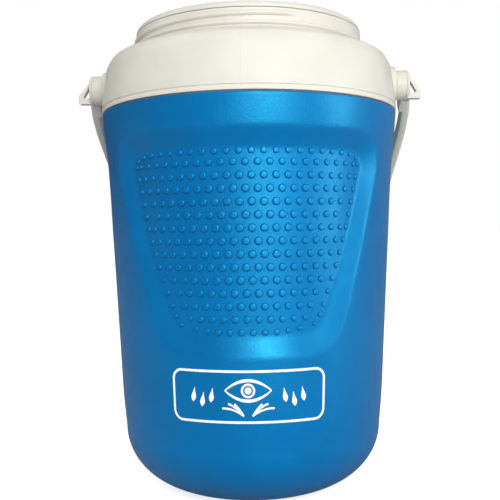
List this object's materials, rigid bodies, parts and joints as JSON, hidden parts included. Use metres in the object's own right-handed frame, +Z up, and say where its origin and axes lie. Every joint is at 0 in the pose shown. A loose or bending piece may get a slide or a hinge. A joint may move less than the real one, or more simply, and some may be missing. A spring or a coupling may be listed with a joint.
{
  "type": "portable eyewash station",
  "caption": "Insulated jug-style portable eyewash with a screw neck, folding carry handle, dotted grip panels and a rear twin-nozzle head opened by a swing arm and ball valve.",
  "frame": {"origin": "centre of the jug's base, on the plane it stands on", "axes": "+Z up along the jug's axis, -Y towards the plain front, +Y towards the eyewash head, X along the handle's pivot axis"},
  "size_m": [0.284, 0.315, 0.369],
  "materials": {
    "blue_shell": "fine-grained blow-moulded polyethylene",
    "cream_plastic": "satin off-white moulding",
    "white_plastic": "satin food-grade polyethylene",
    "foam": "rigid polyurethane foam",
    "black_rubber": "moulded EPDM",
    "green_plastic": "satin safety green",
    "ptfe": "smooth white seat polymer",
    "stainless": "turned stainless steel"
  },
  "bodies": {
    "tank": {"outer_shell": "blue_shell", "foam_fill_plug": "blue_shell", "neck_collar": "cream_plastic", "strap_lug_left": "cream_plastic", "strap_lug_right": "cream_plastic", "inner_liner": "cream_plastic", "bulkhead_nut": "white_plastic", "intake_strainer": "white_plastic", "foam_insulation": "foam", "outer_gasket": "black_rubber", "inner_gasket": "black_rubber", "stem_o_ring": "black_rubber", "valve_body": "cream_plastic", "gland_nut": "cream_plastic", "nozzle_manifold": "cream_plastic", "nozzle_left": "cream_plastic", "nozzle_right": "cream_plastic", "seat_inner": "ptfe", "seat_outer": "ptfe", "arm_screw_left": "stainless", "spray_disc_left": "stainless", "spray_disc_right": "stainless", "cap_pin_left": "stainless", "cap_pin_right": "stainless"},
    "handle": {"bail_handle": "cream_plastic"},
    "valve_arm": {"swing_arm": "green_plastic", "valve_ball": "stainless", "valve_stem": "stainless", "arm_screw_right": "stainless"},
    "cap_left": {"dust_cap_left": "green_plastic"},
    "cap_right": {"dust_cap_right": "green_plastic"}
  },
  "joints": [
    {"name": "handle_swing", "type": "hinge", "parent": "tank", "child": "handle", "pos_m": [0, 0, 0.3237], "axis": [1, 0, 0], "range_deg": [0, 260]},
    {"name": "valve_arm_turn", "type": "hinge", "parent": "tank", "child": "valve_arm", "pos_m": [0, 0.133, 0.052], "axis": [-1, 0, 0], "range_deg": [0, 90]},
    {"name": "cap_left_hinge", "type": "hinge", "parent": "tank", "child": "cap_left", "pos_m": [-0.033, 0.1574, 0.0994], "axis": [1, 0, 0], "range_deg": [0, 105]},
    {"name": "cap_right_hinge", "type": "hinge", "parent": "tank", "child": "cap_right", "pos_m": [0.033, 0.1574, 0.0994], "axis": [1, 0, 0], "range_deg": [0, 105]}
  ]
}
